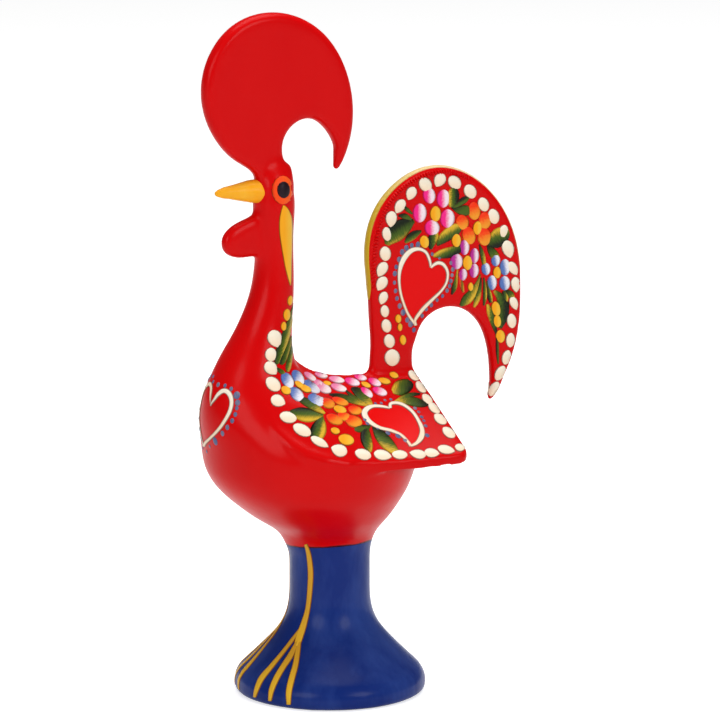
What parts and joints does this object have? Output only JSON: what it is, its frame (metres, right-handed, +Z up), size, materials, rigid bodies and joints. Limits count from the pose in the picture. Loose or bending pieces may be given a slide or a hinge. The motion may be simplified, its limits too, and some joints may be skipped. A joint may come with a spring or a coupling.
{
  "type": "painted clay rooster ornament",
  "caption": "Folk ornament: a painted clay rooster with round comb, hooked tail and roof-like wings, standing on a bell-shaped foot.",
  "frame": {"origin": "centre of the foot ring on the plane that the ornament stands on", "axes": "+Z up along the axis of the foot, -X the way the bird looks, -Y its left side; the middle plane is Y = 0"},
  "size_m": [0.1297, 0.0826, 0.2501],
  "materials": {
    "red_glaze": "gloss varnish over bright red paint on fired clay",
    "blue_glaze": "gloss varnish over deep blue paint on fired clay",
    "yellow_glaze": "gloss varnish over warm yellow paint on fired clay",
    "cream_paint": "raised strokes of cream paint under varnish",
    "leaf_paint": "raised strokes of green and yellow paint under varnish",
    "petal_paint": "raised strokes of shaded petal paint under varnish",
    "gold_paint": "strokes of ochre gold paint under varnish",
    "dark_paint": "spots of near-black paint under varnish"
  },
  "bodies": {
    "root": {"foot": "blue_glaze", "waist_coil": "blue_glaze", "body_left": "red_glaze", "body_right": "red_glaze", "wing_left": "red_glaze", "wing_right": "red_glaze", "tail": "red_glaze", "tail_coil": "red_glaze", "comb": "red_glaze", "comb_coil": "red_glaze", "beak": "yellow_glaze", "wattle": "red_glaze"}
  },
  "joints": []
}
